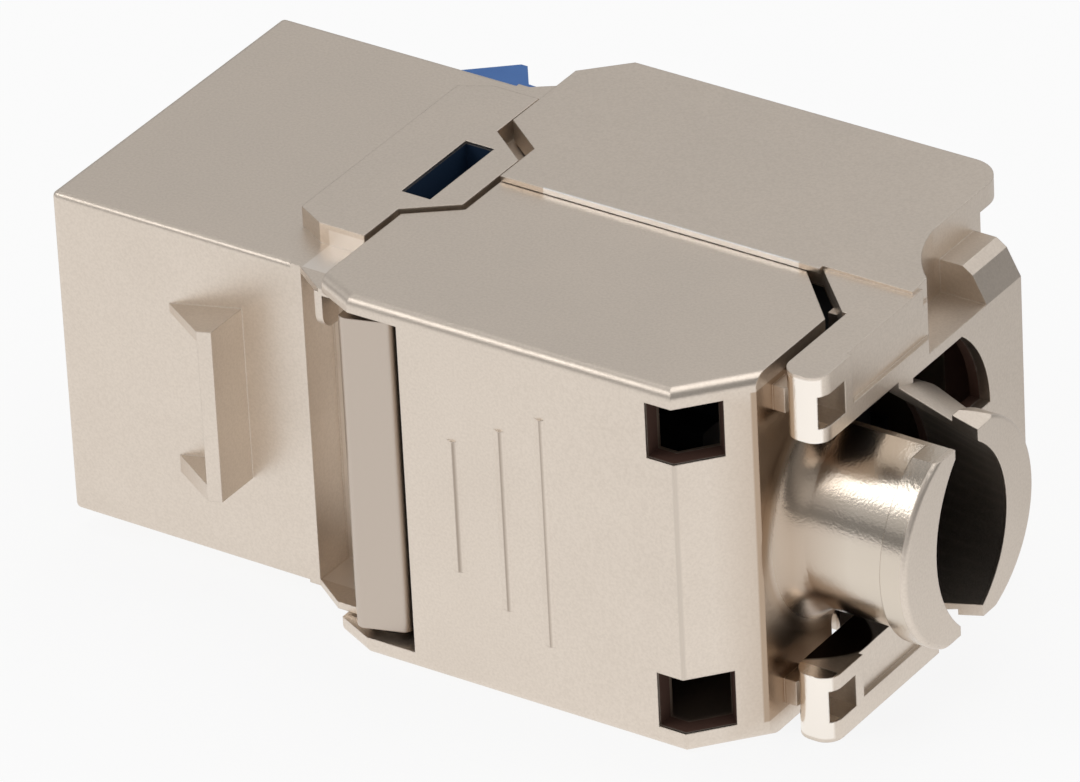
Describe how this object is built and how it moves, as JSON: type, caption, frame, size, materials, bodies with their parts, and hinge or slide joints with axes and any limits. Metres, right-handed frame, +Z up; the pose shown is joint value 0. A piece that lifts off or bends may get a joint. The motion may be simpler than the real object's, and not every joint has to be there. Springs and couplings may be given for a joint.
{
  "type": "shielded keystone jack",
  "caption": "Shielded modular jack for a keystone opening: metal front with a fixed catch and a sprung latch, and two hinged rear covers that close round the cable with a split collar",
  "frame": {"origin": "middle of the underside of the whole jack, on the plane that the two cover plates, the pad and the lower arm rest on", "axes": "+X runs from the port face to the cable end, +Y points to the sprung latch's side, +Z points up from the side the jack lies on"},
  "size_m": [0.0384, 0.0204, 0.0165],
  "materials": {
    "cast_metal": "die-cast zinc with a satin nickel plating",
    "blue_plastic": "moulded plastic, fine satin texture",
    "black_plastic": "moulded plastic, satin",
    "pin_steel": "plain drawn steel",
    "spring_steel": "rolled spring steel, nickel plated",
    "gold_contact": "gold-plated phosphor bronze wire",
    "tinned_bronze": "tin-plated phosphor bronze sheet",
    "board": "solder-masked glass laminate"
  },
  "bodies": {
    "housing": {"circuit_board": "board", "contact_carrier": "blue_plastic", "contact_lead_1": "gold_contact", "contact_lead_2": "gold_contact", "contact_lead_3": "gold_contact", "contact_lead_4": "gold_contact", "contact_lead_5": "gold_contact", "contact_lead_6": "gold_contact", "contact_lead_7": "gold_contact", "contact_lead_8": "gold_contact", "far_hinge_pin": "pin_steel", "far_terminal_block": "black_plastic", "front_housing": "cast_metal", "lower_shield_spring": "spring_steel", "near_hinge_pin": "pin_steel", "near_terminal_block": "black_plastic", "terminal_1": "tinned_bronze", "terminal_2": "tinned_bronze", "terminal_3": "tinned_bronze", "terminal_4": "tinned_bronze", "terminal_5": "tinned_bronze", "terminal_6": "tinned_bronze", "terminal_7": "tinned_bronze", "terminal_8": "tinned_bronze", "upper_shield_spring": "spring_steel", "wire_manager": "black_plastic"},
    "latch": {"latch": "blue_plastic"},
    "near_cover": {"near_cover": "cast_metal"},
    "far_cover": {"far_cover": "cast_metal"},
    "spring_contacts": {"contact_arm_1": "gold_contact", "contact_arm_2": "gold_contact", "contact_arm_3": "gold_contact", "contact_arm_4": "gold_contact", "contact_arm_5": "gold_contact", "contact_arm_6": "gold_contact", "contact_arm_7": "gold_contact", "contact_arm_8": "gold_contact"}
  },
  "joints": [
    {"name": "far_cover_hinge", "type": "hinge", "parent": "housing", "child": "far_cover", "pos_m": [-0.00325, 0.0086, 0.00815], "axis": [0, 0, 1], "range_deg": [0, 95]},
    {"name": "near_cover_hinge", "type": "hinge", "parent": "housing", "child": "near_cover", "pos_m": [-0.00325, -0.0086, 0.00815], "axis": [0, 0, -1], "range_deg": [0, 95]},
    {"name": "latch_flex", "type": "hinge", "parent": "housing", "child": "latch", "pos_m": [-0.0168, 0.0066, 0.00815], "axis": [0, 0, -1], "range_deg": [0, 6.5], "stiffness_Nm_per_rad": 0.2},
    {"name": "contact_flex", "type": "hinge", "parent": "housing", "child": "spring_contacts", "pos_m": [-0.01555, 0.0038, 0.00815], "axis": [0, 0, 1], "range_deg": [0, 8], "stiffness_Nm_per_rad": 0.05}
  ],
  "couplings": [
    {"joint": "near_cover_hinge", "follows": "far_cover_hinge", "ratio": 1}
  ]
}
